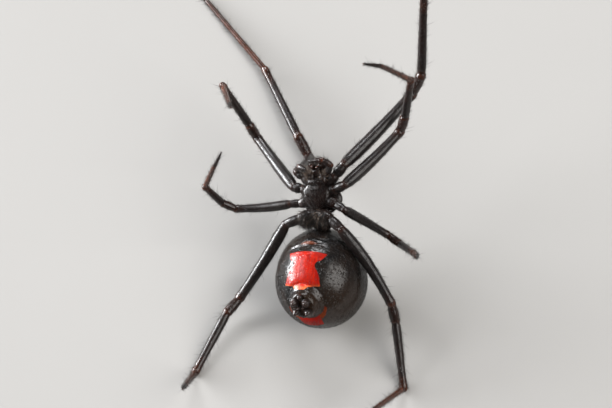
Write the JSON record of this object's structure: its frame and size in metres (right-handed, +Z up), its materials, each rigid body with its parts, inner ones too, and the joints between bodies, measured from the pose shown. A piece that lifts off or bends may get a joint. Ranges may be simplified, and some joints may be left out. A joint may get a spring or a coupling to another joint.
{
  "type": "black widow spider",
  "caption": "Life-size model of a female black widow spider lying on her back, legs spread and curled, with the red hourglass on her round glossy belly showing.",
  "frame": {"origin": "on the floor under the abdomen, at the middle of the flat it rests on", "axes": "+Z up, out of the belly; +Y from the abdomen towards the head and the long first legs; +X to the spider's own left"},
  "size_m": [0.0178, 0.0382, 0.0241],
  "materials": {
    "abdomen_shell": "gloss",
    "hourglass_red": "satin",
    "chest": "satin",
    "brown_parts": "satin",
    "legs": "gloss",
    "eyes": "gloss",
    "bristles": "matte"
  },
  "bodies": {
    "root": {"abdomen": "abdomen_shell", "spinnerets": "brown_parts", "prosoma": "chest", "pedicel": "chest", "chelicera_left": "brown_parts", "chelicera_right": "brown_parts", "pedipalp_left": "brown_parts", "pedipalp_right": "brown_parts", "leg_1_left_upper": "legs", "leg_1_left_middle": "legs", "leg_1_left_foot": "legs", "leg_2_left_upper": "legs", "leg_2_left_middle": "legs", "leg_2_left_foot": "legs", "leg_3_left_upper": "legs", "leg_3_left_middle": "legs", "leg_3_left_foot": "legs", "leg_4_left_upper": "legs", "leg_4_left_middle": "legs", "leg_4_left_foot": "legs", "leg_1_right_upper": "legs", "leg_1_right_middle": "legs", "leg_1_right_foot": "legs", "leg_2_right_upper": "legs", "leg_2_right_middle": "legs", "leg_2_right_foot": "legs", "leg_3_right_upper": "legs", "leg_3_right_middle": "legs", "leg_3_right_foot": "legs", "leg_4_right_upper": "legs", "leg_4_right_middle": "legs", "leg_4_right_foot": "legs"}
  },
  "joints": []
}
